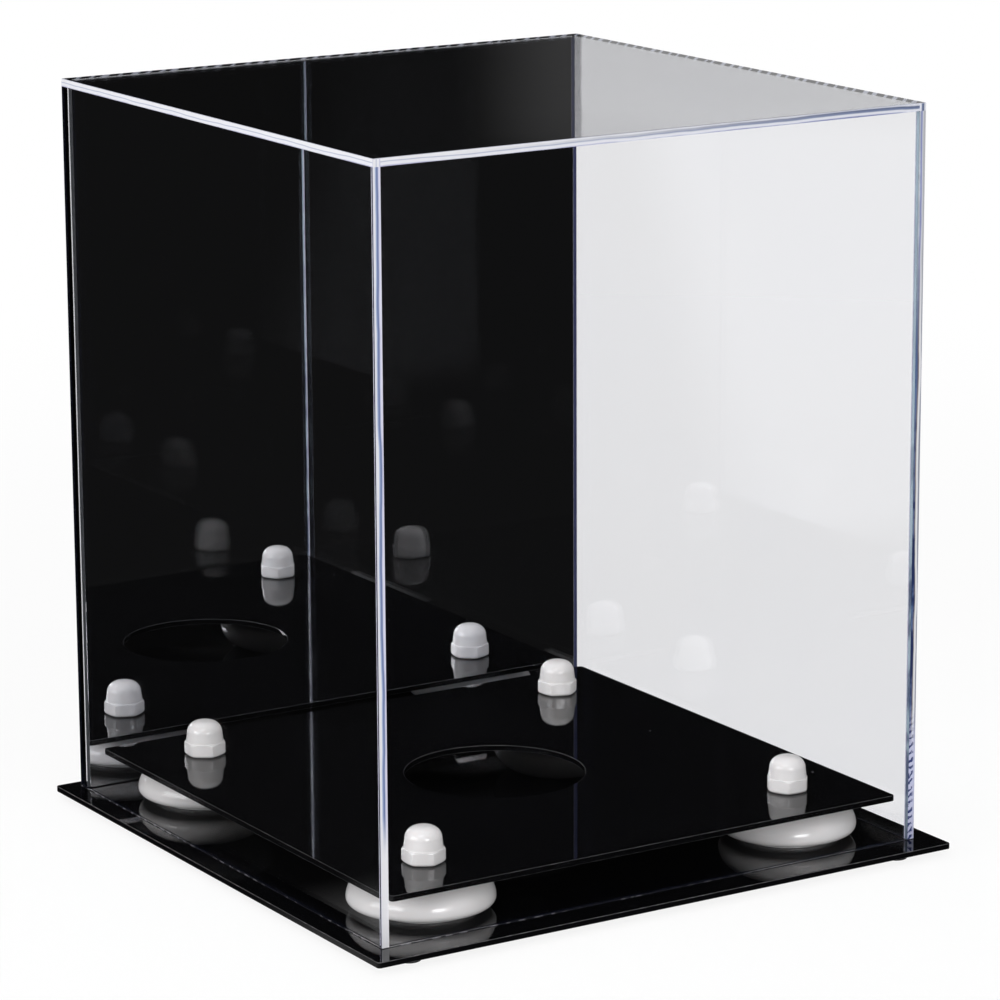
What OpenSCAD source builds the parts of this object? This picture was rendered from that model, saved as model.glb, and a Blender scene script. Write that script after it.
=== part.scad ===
// Clear display case: a five-sided clear cover with a mirror inside its back
// lifts off a black base plate. Four dome risers on the base plate carry a
// platform plate with a round seat for a ball that stands on its end.
// +Z is up and -Y is the front. The origin is on the surface that the feet
// stand on, under the middle of the base plate.

/* [Cover] */
// Outside width of the cover
cover_w = 254; // [180:1:360]
// Outside depth of the cover
cover_d = 254; // [180:1:360]
// Outside height of the cover
cover_h = 305; // [150:1:420]
// Thickness of the clear panels
panel_t = 3.2; // [2:0.1:6]
// Thickness of the mirror sheet
mirror_t = 3; // [1.5:0.1:5]

/* [Base plate] */
// How far the base plate reaches past each side of the cover
side_lip = 9.25; // [5:0.25:25]
// How far the base plate reaches in front of the cover
front_lip = 13; // [5:0.25:25]
// How far the base plate reaches behind the cover
back_lip = 5.5; // [3:0.25:25]
// Thickness of the base plate
base_t = 2.4; // [2:0.1:6]
// Radius of the plates' upright corner edges
corner_r = 1.5; // [0.5:0.1:3]

/* [Platform] */
// Thickness of the platform plate
platform_t = 2.4; // [2:0.1:6]
// Free gap between the platform's sides and the cover's side panels
side_gap = 3.8; // [1:0.1:10]
// Free gap between the platform's front edge and the cover's front panel
front_gap = 2; // [1:0.1:10]
// Diameter of the round seat in the middle of the platform
seat_d = 76; // [40:1:100]
// Distance from the platform's left or right edge to a bolt's centre
bolt_inset_x = 32.5; // [30:0.5:45]
// Distance from the platform's front or back edge to a bolt's centre
bolt_inset_y = 30.5; // [29.5:0.5:45]

/* [Risers] */
// Largest diameter of a dome riser
riser_d = 57; // [50:0.5:60]
// Height of a riser, from base plate to platform
riser_h = 16.5; // [12:0.5:40]
// Height of a riser's underside above the base plate
riser_rim_lift = 2.4; // [1:0.1:4]
// Radius of a riser's rounded rim
riser_rim_r = 2.8; // [2:0.1:5]
// Diameter of the flat seat on top of a riser
riser_seat_d = 26; // [22:0.5:30]
// Wall thickness of a riser
riser_wall = 2; // [1.5:0.1:3]
// Outside diameter of a riser's hub
riser_hub_d = 13; // [11:0.5:16]
// Outside diameter of the ring that a riser stands on
riser_ring_d = 41; // [35:0.5:44]

/* [Bolts and cap nuts] */
// Shank diameter of a bolt
bolt_d = 6; // [4:0.5:8]
// Diameter of a bolt's head
bolt_head_d = 12; // [9:0.5:14]
// Thickness of a bolt's head
bolt_head_t = 2.2; // [1.5:0.1:2.6]
// Length of the bolt inside its cap nut
bolt_grip = 8; // [5:0.5:9]
// Width of a cap nut across its flats
nut_af = 17; // [15.5:0.1:19]
// Height of a cap nut's hexagon
nut_hex_h = 5.7; // [4:0.1:9]
// Diameter of a cap nut's rounded cap
nut_cap_d = 15.8; // [12:0.1:16]
// Overall height of a cap nut
nut_h = 14.8; // [13:0.1:22]

/* [Feet] */
// Diameter of a rubber foot
foot_d = 10; // [6:0.5:20]
// Height of a rubber foot
foot_h = 3.2; // [3:0.1:8]
// Distance from the base plate's side to a foot's centre
foot_inset_x = 20; // [12:0.5:40]
// Distance from the base plate's front or back edge to a foot's centre
foot_inset_y = 11; // [10.5:0.5:40]

/* [Clearances] */
// Radial clearance around a bolt in the plates and risers
bolt_play = 0.2; // [0.1:0.05:0.6]
// Radial clearance between a cap nut's bore and its bolt
thread_play = 0.05; // [0.02:0.01:0.2]
// Gap between the mirror sheet and the left panel, the top panel and the base plate
mirror_play = 0.3; // [0.1:0.05:1]
// Gap between the mirror sheet's right end and the right panel
mirror_end_gap = 1.7; // [0.3:0.1:4]

/* [Hidden] */
$fn = 96;

// overlap of a cutting tool past the face that it cuts
cut = 1;

// plates
base_w = cover_w + 2 * side_lip;
base_d = cover_d + front_lip + back_lip;
cover_y = (front_lip - back_lip) / 2;
inner_w = cover_w - 2 * panel_t;
platform_w = inner_w - 2 * side_gap;
platform_front = cover_y - cover_d / 2 + panel_t + front_gap;
platform_d = -2 * platform_front;

// heights
base_top = foot_h + base_t;
platform_z = base_top + riser_h;
platform_top = platform_z + platform_t;
wall_h = cover_h - panel_t;
bolt_top = platform_top + bolt_grip;

// places of the four bolts and of the four feet, as [left/right, front/back]
LEFT = -1;
RIGHT = 1;
FRONT = -1;
REAR = 1;
bolt_x = platform_w / 2 - bolt_inset_x;
bolt_y = platform_d / 2 - bolt_inset_y;
foot_x = base_w / 2 - foot_inset_x;
foot_y = base_d / 2 - foot_inset_y;

// the angles at which the cap nuts came tight
turn_front_left = 27;
turn_front_right = 58;
turn_rear_left = 24;
turn_rear_right = 40;

// A riser's rim is a round between its dome and its underside. It starts where
// it leaves the dome, at the angle rim_start.
rim_start = 35;
rim_z = riser_rim_lift + riser_rim_r;
rim_centre_r = riser_d / 2 - riser_rim_r;
riser_dome_r = rim_centre_r + riser_rim_r * cos(rim_start);
dome_low = rim_z + riser_rim_r * sin(rim_start);
dome_steps = 14;
rim_steps = 8;
hollow_steps = 4;

// a cap nut's rounded cap, above its hexagon
cap_steps = 10;
// how much of the cap's height is its straight side
cap_side_share = 0.42;
cap_side_h = (nut_h - nut_hex_h) * cap_side_share;
cap_taper = 0.4;
// a smaller power makes the cap's shoulders squarer
cap_power = 0.7;
nut_corner_r = nut_af / 2 / cos(30);
nut_bevel_h = (nut_corner_r - nut_af / 2) * 1.4;
nut_bore_h = bolt_grip + 1;

// a plate that lies flat, with rounded upright corners
module plate(w, d, t) {
    linear_extrude(t) rounded_rectangle(w, d, corner_r);
}

module rounded_rectangle(w, d, r) {
    union() {
        square([w - 2 * r, d], center = true);
        square([w, d - 2 * r], center = true);
        for (x = [-1, 1], y = [-1, 1])
            translate([x * (w / 2 - r), y * (d / 2 - r)]) circle(r, $fn = 48);
    }
}

// copies its children to the four bolt positions
module at_bolts() {
    for (side = [LEFT, RIGHT], end = [FRONT, REAR]) at_bolt(side, end) children();
}

module at_bolt(side, end) {
    translate([side * bolt_x, end * bolt_y, 0]) children();
}

module bolt_holes(z, t) {
    at_bolts() translate([0, 0, z - cut]) cylinder(t + 2 * cut, r = bolt_d / 2 + bolt_play);
}

module base_plate() {
    color([0.02, 0.02, 0.025])
    difference() {
        translate([0, 0, foot_h]) plate(base_w, base_d, base_t);
        bolt_holes(foot_h, base_t);
    }
}

module platform_plate() {
    color([0.02, 0.02, 0.025])
    difference() {
        translate([0, 0, platform_z]) plate(platform_w, platform_d, platform_t);
        bolt_holes(platform_z, platform_t);
        translate([0, 0, platform_z - cut]) cylinder(platform_t + 2 * cut, d = seat_d, $fn = 144);
    }
}

module foot(side, end) {
    bevel = foot_d / 12;
    color([0.06, 0.06, 0.065])
    translate([side * foot_x, end * foot_y, 0])
    rotate_extrude()
    polygon([
        [0, 0], [foot_d / 2 - 2 * bevel, 0], [foot_d / 2 - bevel, bevel / 2],
        [foot_d / 2, foot_h], [0, foot_h]
    ]);
}

// Points of a riser's dome, from the edge of its flat seat outwards, as a
// quarter of an ellipse. inset moves the dome inwards, for its hollow side.
function dome_point(x, inset) =
    let (reach = riser_dome_r - inset - riser_seat_d / 2)
    [riser_seat_d / 2 + reach * x, dome_low + (riser_h - inset - dome_low) * sqrt(1 - x * x)];

// The whole riser, solid: seat, dome, rounded rim, underside and standing ring
module riser_body() {
    rotate_extrude()
    polygon(concat(
        [[0, riser_h]],
        [for (i = [0 : dome_steps]) dome_point(sin(90 * i / dome_steps), 0)],
        [for (i = [1 : rim_steps])
            let (a = rim_start - (90 + rim_start) * i / rim_steps)
            [rim_centre_r + riser_rim_r * cos(a), rim_z + riser_rim_r * sin(a)]],
        [[riser_ring_d / 2, riser_rim_lift], [riser_ring_d / 2, 0], [0, 0]]
    ));
}

// The hollow between hub and standing ring, open below
module riser_hollow() {
    hollow_r = riser_ring_d / 2 - riser_wall;
    hollow_share = (hollow_r - riser_seat_d / 2) / (riser_dome_r - riser_wall - riser_seat_d / 2);
    rotate_extrude()
    polygon(concat(
        [[riser_hub_d / 2, -cut], [riser_hub_d / 2, riser_h - riser_wall]],
        [for (i = [0 : hollow_steps]) dome_point(hollow_share * i / hollow_steps, riser_wall)],
        [[hollow_r, -cut]]
    ));
}

module riser(side, end) {
    color([0.93, 0.93, 0.93])
    at_bolt(side, end) translate([0, 0, base_top])
    difference() {
        riser_body();
        riser_hollow();
        translate([0, 0, -cut]) cylinder(riser_h + 2 * cut, r = bolt_d / 2 + bolt_play);
    }
}

module bolt(side, end) {
    tip = bolt_d / 8;
    head_round = bolt_head_t / 3;
    color([0.93, 0.93, 0.93])
    at_bolt(side, end)
    rotate_extrude()
    polygon([
        [0, foot_h - bolt_head_t],
        [bolt_head_d / 2 - 2 * head_round, foot_h - bolt_head_t],
        [bolt_head_d / 2, foot_h - bolt_head_t + head_round],
        [bolt_head_d / 2, foot_h],
        [bolt_d / 2, foot_h],
        [bolt_d / 2, bolt_top - tip],
        [bolt_d / 2 - tip, bolt_top],
        [0, bolt_top]
    ]);
}

// A closed hexagon nut with a rounded cap. Its hexagon's upper corners are
// bevelled. turn is the angle at which it came tight.
module cap_nut(side, end, turn) {
    cap_r = nut_cap_d / 2;
    cap_z = nut_hex_h + cap_side_h;
    color([0.93, 0.93, 0.93])
    at_bolt(side, end) translate([0, 0, platform_top]) rotate(turn)
    difference() {
        union() {
            intersection() {
                cylinder(nut_hex_h, r = nut_corner_r, $fn = 6);
                rotate_extrude()
                polygon([
                    [0, 0], [nut_corner_r - nut_bevel_h / 4, 0], [nut_corner_r, nut_bevel_h / 4],
                    [nut_corner_r, nut_hex_h - nut_bevel_h], [nut_af / 2, nut_hex_h], [0, nut_hex_h]
                ]);
            }
            rotate_extrude()
            polygon(concat(
                [[0, nut_hex_h / 2], [cap_r, nut_hex_h / 2], [cap_r, nut_hex_h]],
                [for (i = [0 : cap_steps])
                    let (a = 90 * i / cap_steps)
                    [(cap_r - cap_taper) * pow(cos(a), cap_power), cap_z + (nut_h - cap_z) * sin(a)]]
            ));
        }
        translate([0, 0, -cut]) cylinder(nut_bore_h + cut, r = bolt_d / 2 + thread_play);
    }
}

// a panel of the cover, from its low corner and its size
module panel(corner, size) {
    color([0.86, 0.92, 0.96, 0.3])
    translate([0, cover_y, base_top]) translate(corner) cube(size);
}

module cover_front_panel() {
    panel([-inner_w / 2, -cover_d / 2, 0], [inner_w, panel_t, wall_h]);
}

module cover_back_panel() {
    panel([-inner_w / 2, cover_d / 2 - panel_t, 0], [inner_w, panel_t, wall_h]);
}

module cover_left_panel() {
    panel([-cover_w / 2, -cover_d / 2, 0], [panel_t, cover_d, wall_h]);
}

module cover_right_panel() {
    panel([cover_w / 2 - panel_t, -cover_d / 2, 0], [panel_t, cover_d, wall_h]);
}

module cover_top_panel() {
    panel([-cover_w / 2, -cover_d / 2, wall_h], [cover_w, cover_d, panel_t]);
}

module mirror_sheet() {
    color([0.75, 0.77, 0.8])
    translate([-inner_w / 2 + mirror_play, cover_y + cover_d / 2 - panel_t - mirror_t, base_top + mirror_play])
    cube([inner_w - mirror_play - mirror_end_gap, mirror_t, wall_h - 2 * mirror_play]);
}

base_plate();
platform_plate();
foot(LEFT, FRONT);  // foot_front_left
foot(RIGHT, FRONT);  // foot_front_right
foot(LEFT, REAR);  // foot_rear_left
foot(RIGHT, REAR);  // foot_rear_right
riser(LEFT, FRONT);  // riser_front_left
riser(RIGHT, FRONT);  // riser_front_right
riser(LEFT, REAR);  // riser_rear_left
riser(RIGHT, REAR);  // riser_rear_right
bolt(LEFT, FRONT);  // bolt_front_left
bolt(RIGHT, FRONT);  // bolt_front_right
bolt(LEFT, REAR);  // bolt_rear_left
bolt(RIGHT, REAR);  // bolt_rear_right
cap_nut(LEFT, FRONT, turn_front_left);  // cap_nut_front_left
cap_nut(RIGHT, FRONT, turn_front_right);  // cap_nut_front_right
cap_nut(LEFT, REAR, turn_rear_left);  // cap_nut_rear_left
cap_nut(RIGHT, REAR, turn_rear_right);  // cap_nut_rear_right
cover_front_panel();
cover_left_panel();
cover_right_panel();
cover_back_panel();
cover_top_panel();
mirror_sheet();
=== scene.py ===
import math

import bmesh
import bpy
import numpy as np
from mathutils import Matrix, Vector


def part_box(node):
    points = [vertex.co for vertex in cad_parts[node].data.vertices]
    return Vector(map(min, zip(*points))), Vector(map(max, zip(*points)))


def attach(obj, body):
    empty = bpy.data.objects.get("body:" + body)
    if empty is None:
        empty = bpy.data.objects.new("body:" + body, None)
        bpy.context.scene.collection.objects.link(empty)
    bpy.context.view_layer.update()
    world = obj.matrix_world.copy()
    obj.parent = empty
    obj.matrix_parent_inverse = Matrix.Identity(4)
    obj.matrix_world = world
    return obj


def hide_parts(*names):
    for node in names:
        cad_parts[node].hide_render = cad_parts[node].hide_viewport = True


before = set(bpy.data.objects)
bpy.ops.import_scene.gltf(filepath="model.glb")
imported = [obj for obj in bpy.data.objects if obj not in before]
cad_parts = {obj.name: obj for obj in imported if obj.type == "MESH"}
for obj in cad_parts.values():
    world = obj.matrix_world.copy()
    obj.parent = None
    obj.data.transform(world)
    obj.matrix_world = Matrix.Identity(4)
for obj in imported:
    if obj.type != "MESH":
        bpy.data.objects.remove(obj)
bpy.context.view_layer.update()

mm = 0.001
cornerNames = ["front_left", "front_right", "rear_left", "rear_right"]
mergeDistance = 1e-7  # points nearer than this are one, in metres
sliverLength = 1e-8  # shorter edges are taken out
touching = 0.01 * mm  # what lies nearer than this lies on the same plane
uprightUnder = 0.02  # an upright face's normal rises or falls by less than this
squareOver = 0.99  # a face square to an axis has more than this of its normal along it


def addObject(name, mesh, materials, body):
    # links an object, gives it its materials and lets it ride on a body of the frame
    piece = bpy.data.objects.new(name, mesh)
    bpy.context.scene.collection.objects.link(piece)
    for material in materials:
        mesh.materials.append(material)
    if body:
        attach(piece, body)
    return piece


def closeMesh(name, points, faces, sharpAngle=None):
    # joins doubled points, turns the faces outwards and marks the edges over sharpAngle degrees
    mesh = bpy.data.meshes.new(name)
    mesh.from_pydata(points.tolist(), [], faces)
    work = bmesh.new()
    work.from_mesh(mesh)
    bmesh.ops.remove_doubles(work, verts=work.verts, dist=mergeDistance)
    bmesh.ops.dissolve_degenerate(work, edges=work.edges, dist=sliverLength)
    bmesh.ops.recalc_face_normals(work, faces=work.faces)
    work.to_mesh(mesh)
    work.free()
    if sharpAngle is None:
        mesh.shade_flat()
    else:
        mesh.shade_smooth()
        mesh.set_sharp_from_angle(angle=math.radians(sharpAngle))
    return mesh


def gridFaces(rows, cols):
    # quads of a grid of points that closes on itself along its columns
    r, c = np.meshgrid(np.arange(rows - 1), np.arange(cols), indexing="ij")
    n = (c + 1) % cols
    quads = np.stack([r * cols + c, r * cols + n, (r + 1) * cols + n, (r + 1) * cols + c], axis=-1)
    return quads.reshape(-1, 4).tolist()


def gridEnds(rows, cols):
    # the two flat faces that close such a grid's first and last rows
    return [list(range(cols)), list(range((rows - 1) * cols, rows * cols))]


def roundedOutline(halfX, halfY, radius, inset, steps):
    # four quarter circles of radius minus inset, round the corners of a rectangle
    turn = np.linspace(0, math.pi / 2, steps)
    quarter = np.stack([np.cos(turn), np.sin(turn)], axis=1) * (radius - inset)
    arms = [(1, 1, 0), (-1, 1, 1), (-1, -1, 2), (1, -1, 3)]
    parts = []
    for signX, signY, quarterTurn in arms:
        c, s = math.cos(quarterTurn * math.pi / 2), math.sin(quarterTurn * math.pi / 2)
        bend = quarter @ np.array([[c, s], [-s, c]])
        parts.append(bend + [signX * (halfX - radius), signY * (halfY - radius)])
    return np.concatenate(parts)


def slab(name, low, high, thinAxis, radius, arris, steps=5, arrisSteps=4):
    # A flat sheet: its rounded outline is carried up its thickness, and drawn in by
    # arris * (1 - sin(angle)) over the first and last arris of the height, where the angle
    # goes from 0 to a quarter turn.
    low, high = np.array(low), np.array(high)
    axes = [a for a in range(3) if a != thinAxis] + [thinAxis]
    centre = ((low + high) / 2)[axes]
    half = ((high - low) / 2)[axes]
    angle = np.linspace(0, math.pi / 2, arrisSteps)
    back = angle[::-1]
    inset = np.concatenate([arris * (1 - np.sin(angle)), arris * (1 - np.sin(back))])
    height = np.concatenate([arris * (1 - np.cos(angle)), 2 * half[2] - arris * (1 - np.cos(back))])
    rings = []
    for drawnIn, z in zip(inset, height):
        outline = roundedOutline(half[0], half[1], radius, drawnIn, steps)
        rings.append(np.column_stack([outline, np.full(len(outline), z - half[2])]))
    cols = len(rings[0])
    flat = np.concatenate(rings) + centre
    points = np.empty_like(flat)
    points[:, axes] = flat
    return closeMesh(name, points, gridFaces(len(rings), cols) + gridEnds(len(rings), cols))


def revolve(name, profile, centre, segments=128, sharpAngle=32):
    # every profile point (radius, height) goes once round the upright line through centre
    profile = np.array(profile)
    turn = np.linspace(0, 2 * math.pi, segments, endpoint=False)
    x = centre[0] + profile[:, :1] * np.cos(turn)
    y = centre[1] + profile[:, :1] * np.sin(turn)
    z = np.repeat(centre[2] + profile[:, 1:], segments, axis=1)
    points = np.stack([x, y, z], axis=-1).reshape(-1, 3)
    return closeMesh(name, points, gridFaces(len(profile), segments), sharpAngle)


def arc(centreR, centreZ, radius, startDegrees, endDegrees, steps):
    # points (radius, height) along part of a circle in the profile's plane
    a = np.radians(np.linspace(startDegrees, endDegrees, steps))
    return np.column_stack([centreR + radius * np.cos(a), centreZ + radius * np.sin(a)])


def boxOf(node):
    # the lowest and the highest corner of a node of the frame
    low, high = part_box(node)
    return np.array(low), np.array(high)


def footOf(low, high):
    # the middle of a box's underside
    return np.array([(low[0] + high[0]) / 2, (low[1] + high[1]) / 2, low[2]])


def faceVectors(mesh, key):
    # the normal or the center of every face, one row each
    values = np.zeros(len(mesh.polygons) * 3)
    mesh.polygons.foreach_get(key, values)
    return values.reshape(-1, 3)


def nodeTree(name):
    # a new material, its node tree and its Principled shader
    material = bpy.data.materials.new(name)
    material.use_nodes = True
    tree = material.node_tree
    shader = tree.nodes["Principled BSDF"]
    return material, tree, shader


def makeGroup(name, inputs, outputs):
    # an empty shader group with (label, kind, value) inputs and (label, kind) outputs
    group = bpy.data.node_groups.new(name, "ShaderNodeTree")
    for label, kind, value in inputs:
        socket = group.interface.new_socket(label, in_out="INPUT", socket_type=kind)
        if value is not None:
            socket.default_value = value
    for label, kind in outputs:
        group.interface.new_socket(label, in_out="OUTPUT", socket_type=kind)
    return group, group.nodes.new("NodeGroupInput"), group.nodes.new("NodeGroupOutput")


def setSockets(node, **values):
    # plain values on a node's inputs, where an underscore stands for a space
    for label, value in values.items():
        node.inputs[label.replace("_", " ")].default_value = value


def feed(tree, socket, value):
    # a number is set on the socket, and an output is linked to it
    if isinstance(value, (int, float)):
        socket.default_value = value
    else:
        tree.links.new(value, socket)


def mathNode(tree, operation, first, second, clamp=False):
    # one arithmetic step on two values, each a number or an output
    node = tree.nodes.new("ShaderNodeMath")
    node.operation = operation
    node.use_clamp = clamp
    feed(tree, node.inputs[0], first)
    feed(tree, node.inputs[1], second)
    return node.outputs[0]


def multiply(tree, first, *others):
    # the product of all the values, from left to right
    for other in others:
        first = mathNode(tree, "MULTIPLY", first, other)
    return first


def add(tree, first, *others):
    # the sum of all the values, from left to right
    for other in others:
        first = mathNode(tree, "ADD", first, other)
    return first


def separate(tree, vector):
    # the x, y and z of a vector
    node = tree.nodes.new("ShaderNodeSeparateXYZ")
    tree.links.new(vector, node.inputs["Vector"])
    return node.outputs["X"], node.outputs["Y"], node.outputs["Z"]


def noise(tree, position, scale, detail=3.0, roughness=0.55):
    # layered soft noise round one half, of which each layer is finer and weaker
    node = tree.nodes.new("ShaderNodeTexNoise")
    feed(tree, node.inputs["Scale"], scale)
    feed(tree, node.inputs["Detail"], detail)
    feed(tree, node.inputs["Roughness"], roughness)
    tree.links.new(position, node.inputs["Vector"])
    return node.outputs[0]


def ramp(tree, value, low, high, outLow=0.0, outHigh=1.0):
    # goes smoothly from outLow to outHigh while the value goes from low to high
    node = tree.nodes.new("ShaderNodeMapRange")
    node.interpolation_type = "SMOOTHSTEP"
    for label, number in (("From Min", low), ("From Max", high), ("To Min", outLow), ("To Max", outHigh)):
        feed(tree, node.inputs[label], number)
    tree.links.new(value, node.inputs["Value"])
    return node.outputs["Result"]


def mixColour(tree, factor, first, second):
    # the first colour where the factor is 0, the second where it is 1
    node = tree.nodes.new("ShaderNodeMix")
    node.data_type = "RGBA"
    tree.links.new(factor, node.inputs["Factor"])
    sockets = [s for s in node.inputs if s.type == "RGBA"]
    for socket, value in zip(sockets, (first, second)):
        if isinstance(value, tuple):
            socket.default_value = (*value, 1.0)
        else:
            tree.links.new(value, socket)
    return [s for s in node.outputs if s.type == "RGBA"][0]


def colourStops(tree, value, stops):
    # a colour ramp through (place, colour) pairs, of which the first is at 0 and the last at 1
    node = tree.nodes.new("ShaderNodeValToRGB")
    elements = node.color_ramp.elements
    elements[0].color = (*stops[0][1], 1.0)
    elements[1].color = (*stops[-1][1], 1.0)
    for place, colour in stops[1:-1]:
        elements.new(place).color = (*colour, 1.0)
    tree.links.new(value, node.inputs["Fac"])
    return node.outputs["Color"]


def bump(tree, height, relief):
    # a normal tilted by the slope of a height. relief is its strength and its depth in metres.
    node = tree.nodes.new("ShaderNodeBump")
    setSockets(node, Strength=relief[0], Distance=relief[1])
    tree.links.new(height, node.inputs["Height"])
    return node.outputs["Normal"]


def objectPosition(tree):
    # where a point lies on the object, in metres
    return tree.nodes.new("ShaderNodeTexCoord").outputs["Object"]


def useGroup(tree, group, position, **values):
    # a group at a position, with its own values
    node = tree.nodes.new("ShaderNodeGroup")
    node.node_tree = group
    tree.links.new(position, node.inputs["Position"])
    setSockets(node, **values)
    return node


# what every mark and mask shares, whichever material it is in
markLooks = {"smearDetail": 4.0, "smearRoughness": 0.6, "smearBand": (0.48, 0.72), "speckPower": 3.0,
             "shakeTurns": 9.0, "dashDetail": 2.0, "dashRoughness": 0.6, "dashBand": (0.35, 0.65)}


def buildMarksGroup():
    # Marks of handling on the object's own coordinates in metres: broad soft smears from a
    # slow noise, and specks of dust, which are small discs round scattered cell centres.
    group, inside, outside = makeGroup(
        "handlingMarks",
        [("Position", "NodeSocketVector", None), ("Smear Scale", "NodeSocketFloat", 9.0),
         ("Speck Scale", "NodeSocketFloat", 40.0), ("Speck Size", "NodeSocketFloat", 0.012)],
        [("Smears", "NodeSocketFloat"), ("Specks", "NodeSocketFloat")])
    smear = noise(group, inside.outputs["Position"], inside.outputs["Smear Scale"],
                  markLooks["smearDetail"], markLooks["smearRoughness"])
    group.links.new(ramp(group, smear, *markLooks["smearBand"]), outside.inputs["Smears"])
    cells = group.nodes.new("ShaderNodeTexVoronoi")
    group.links.new(inside.outputs["Position"], cells.inputs["Vector"])
    group.links.new(inside.outputs["Speck Scale"], cells.inputs["Scale"])
    own = group.nodes.new("ShaderNodeSeparateColor")
    group.links.new(cells.outputs["Color"], own.inputs["Color"])
    share = mathNode(group, "POWER", own.outputs[0], markLooks["speckPower"])
    reach = multiply(group, share, inside.outputs["Speck Size"])
    specks = mathNode(group, "LESS_THAN", cells.outputs["Distance"], reach)
    group.links.new(specks, outside.inputs["Specks"])
    return group


def buildCloudGroup():
    # Grain or cloud, after its scale: a noise on the object's own coordinates, and a mask that
    # goes smoothly from 0 to 1 while the noise goes from Low to High.
    group, inside, outside = makeGroup(
        "grainAndCloud",
        [("Position", "NodeSocketVector", None), ("Scale", "NodeSocketFloat", 200.0),
         ("Detail", "NodeSocketFloat", 3.0), ("Roughness", "NodeSocketFloat", 0.55),
         ("Low", "NodeSocketFloat", 0.4), ("High", "NodeSocketFloat", 0.7)],
        [("Noise", "NodeSocketFloat"), ("Mask", "NodeSocketFloat")])
    raw = noise(group, inside.outputs["Position"], inside.outputs["Scale"],
                inside.outputs["Detail"], inside.outputs["Roughness"])
    mask = ramp(group, raw, inside.outputs["Low"], inside.outputs["High"])
    group.links.new(raw, outside.inputs["Noise"])
    group.links.new(mask, outside.inputs["Mask"])
    return group


def marksAlong(tree, distance, shake, perMetre):
    # evenly spaced marks: the sine of a distance in whole turns, shaken by a noise
    turns = multiply(tree, distance, multiply(tree, perMetre, 2 * math.pi))
    return mathNode(tree, "SINE", add(tree, turns, multiply(tree, shake, markLooks["shakeTurns"])), 0.0)


def buildDashesGroup():
    # Uneven dashes round the top of the cover, alike in the cement and on the edges: marks
    # along x minus y, which changes along every wall, shaken by a noise of that distance.
    group, inside, outside = makeGroup(
        "topDashes",
        [("Position", "NodeSocketVector", None), ("Per Metre", "NodeSocketFloat", 150.0),
         ("Shake Scale", "NodeSocketFloat", 110.0)],
        [("Dashes", "NodeSocketFloat")])
    x, y = separate(group, inside.outputs["Position"])[:2]
    run = mathNode(group, "SUBTRACT", x, y)
    line = group.nodes.new("ShaderNodeCombineXYZ")
    group.links.new(run, line.inputs["X"])
    shake = noise(group, line.outputs["Vector"], inside.outputs["Shake Scale"],
                  markLooks["dashDetail"], markLooks["dashRoughness"])
    marks = marksAlong(group, run, shake, inside.outputs["Per Metre"])
    group.links.new(ramp(group, marks, *markLooks["dashBand"]), outside.inputs["Dashes"])
    return group


marksGroup = buildMarksGroup()
cloudGroup = buildCloudGroup()
dashesGroup = buildDashesGroup()
print("stage: helpers ready")

# The finishes. Colours are linear, scales are per metre, bands are the values between which a
# mask rises, and a relief is a strength and a depth in metres.
blackFinish = {"colour": (0.0025, 0.0025, 0.003), "dust": (0.22, 0.22, 0.23), "roughness": 0.03,
               "smear": 0.03, "marks": {"Smear_Scale": 14.0, "Speck_Scale": 45.0, "Speck_Size": 0.022}}
whiteFinish = {"colour": (0.80, 0.785, 0.785), "shade": (0.72, 0.70, 0.69), "dust": (0.5, 0.48, 0.46),
               "roughness": 0.13, "smear": 0.10, "shadeShare": 0.35,
               "cloud": {"Scale": 45.0, "Detail": 2.0, "Low": 0.35, "High": 0.75},
               "marks": {"Smear_Scale": 60.0, "Speck_Scale": 260.0, "Speck_Size": 0.05},
               "orangePeel": (260.0, 2.0), "relief": (0.06, 0.2 * mm),
               "depth": {"Subsurface_Weight": 0.2, "Subsurface_Scale": 0.002,
                         "Subsurface_Radius": (1.0, 0.85, 0.8)}}
rubberFinish = {"colour": (0.010, 0.010, 0.011), "worn": (0.028, 0.028, 0.03), "roughness": 0.65,
                "grain": {"Scale": 1800.0, "Detail": 4.0, "Low": 0.4, "High": 0.7},
                "relief": (0.3, 0.1 * mm)}
clearFinish = {"colour": (0.990, 0.990, 1.0), "haze": (0.980, 0.982, 0.998), "topTint": (0.93, 0.94, 1.0),
               "ior": 1.49, "cloud": {"Scale": 9.0, "Low": 0.4, "High": 0.8},
               "wave": (22.0, 1.0), "relief": (0.03, 0.4 * mm)}
mirrorFinish = {"colour": (0.86, 0.87, 0.90), "dust": (0.55, 0.55, 0.57), "rim": (0.045, 0.050, 0.110),
                "rimWidth": 2.0 * mm, "rimSoft": 0.3 * mm, "smear": 0.010,
                "marks": {"Smear_Scale": 7.0, "Speck_Scale": 45.0, "Speck_Size": 0.018}}
# the arris colour is partly sanded grain and partly a painted highlight
arrisFinish = {"colour": (0.045, 0.045, 0.048), "worn": (0.12, 0.12, 0.125), "roughness": 0.32,
               "grain": {"Scale": 220.0, "Low": 0.45, "High": 0.70}}
paintFinish = {"colour": (0.035, 0.037, 0.042), "worn": (0.055, 0.058, 0.065), "roughness": 0.4,
               "grain": {"Scale": 500.0, "Detail": 4.0, "Low": 0.35, "High": 0.7},
               "relief": (0.2, 0.1 * mm)}


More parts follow.
